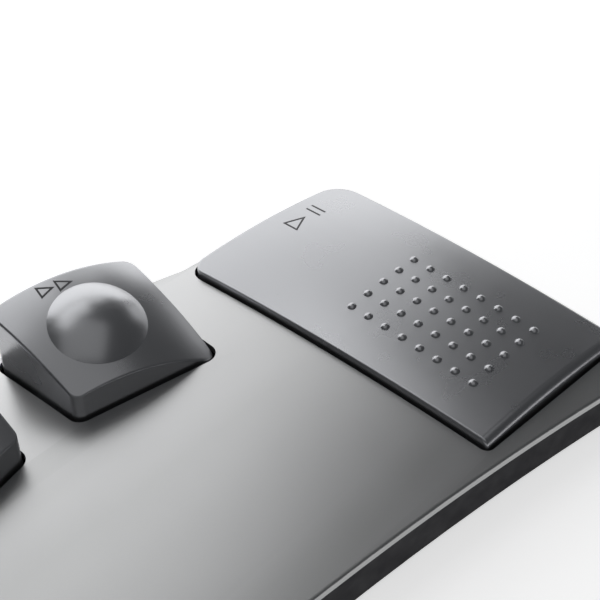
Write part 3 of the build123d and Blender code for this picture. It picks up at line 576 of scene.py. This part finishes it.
tree = floor_paint.node_tree
rays = tree.nodes.new("ShaderNodeLightPath")
mirrored = total(tree, rays.outputs["Is Glossy Ray"], rays.outputs["Is Transmission Ray"])
seen = total(tree, rays.outputs["Is Camera Ray"], mirrored)
glow = tree.nodes.new("ShaderNodeMath")
glow.operation = "MULTIPLY"
glow.inputs[1].default_value = FLOOR_GLOW
tree.links.new(seen, glow.inputs[0])
tree.links.new(glow.outputs[0], floor_shader.inputs["Emission Strength"])
print("floor", 2 * FLOOR_REACH_M, "m wide, glow", FLOOR_GLOW)

# %% [markdown]
# ## Light
# The picture was taken in front of a bright sheet that stands behind and to the left, and the satin paint
# mirrors it: pale where a surface looks back at the sheet, dark where it looks right into the room. A
# ring of small lamps would give spots. So three soft panels stand behind, one above the other, each
# dimmer and further to the left than the one below. A small panel low on the right and a wide dim one
# overhead soften the shadows. The camera doesn't see the panels, and the room around them is dim.

# %% Hang the lights
PANELS = (
    # Name, place, point that it faces, width and height, all in metres, and brightness
    ("back_panel_low", (0.54, 0.50, 0.23), (0.54, 0.0, 0.23), 1.28, 0.44, 1.75),
    ("back_panel_middle", (0.36, 0.50, 0.64), (0.36, 0.0, 0.64), 0.96, 0.38, 1.05),
    ("back_panel_high", (0.10, 0.50, 1.04), (0.10, 0.0, 0.70), 0.90, 0.42, 0.95),
    ("side_panel", (0.95, 0.14, 0.20), (0.0, 0.05, 0.03), 0.34, 0.30, 0.75),
    ("top_panel", (-0.25, -0.25, 1.20), (0.0, 0.0, 0.0), 1.50, 1.50, 0.30),
)
ROOM_COLOUR = (0.94, 0.96, 1.0, 1)
ROOM_STRENGTH = 0.09


def hang_panel(name, place, aim, width, height, brightness):
    """A soft panel with the given brightness, which doesn't change with its size."""
    light = bpy.data.lights.new(name, "AREA")
    light.shape = "RECTANGLE"
    light.size = width
    light.size_y = height
    light.energy = brightness * math.pi * width * height
    lamp = add_object(name, light)
    lamp.location = place
    lamp.rotation_euler = (Vector(aim) - Vector(place)).to_track_quat("-Z", "Y").to_euler()
    lamp.visible_camera = False
    print(name, round(light.energy, 2), "W")


for panel in PANELS:
    hang_panel(*panel)

world = bpy.data.worlds.new("dim_room")
bpy.context.scene.world = world
world.use_nodes = True
room = world.node_tree.nodes["Background"]
room.inputs["Color"].default_value = ROOM_COLOUR
room.inputs["Strength"].default_value = ROOM_STRENGTH
bpy.context.scene.view_settings.view_transform = "Standard"

# %% [markdown]
# ## Camera
# The picture looks down over the front left corner from about forty centimetres. The grid of dots, whose
# spacing is known, gave the place and the lens: the far end of the wide pedal is narrower than a distant
# camera would show it. The camera is therefore set in millimetres and not by eye.

# %% Set the camera
CAMERA_AT_MM = (-162.72, -182.66, 292.60)
TURN_DEG = 46.534
TILT_DEG = 43.053
LENS_MM = 76.396
SENSOR_MM = 36.0
NEAREST_SEEN_M = 0.01

turn = math.radians(TURN_DEG)
tilt = math.radians(TILT_DEG)
ahead = Vector((math.sin(turn) * math.cos(tilt), math.cos(turn) * math.cos(tilt), -math.sin(tilt)))
right = Vector((math.cos(turn), -math.sin(turn), 0))
up = right.cross(ahead)
axes = Matrix((right, up, -ahead)).transposed().to_4x4()

camera_data = bpy.data.cameras.new("camera")
camera_data.sensor_width = SENSOR_MM
camera_data.lens = LENS_MM
camera_data.clip_start = NEAREST_SEEN_M
camera = add_object("camera", camera_data)
camera.matrix_world = Matrix.Translation(Vector(CAMERA_AT_MM) * MM) @ axes
bpy.context.scene.camera = camera
print("camera at", [round(v, 4) for v in camera.matrix_world.translation], "lens", LENS_MM, "mm")
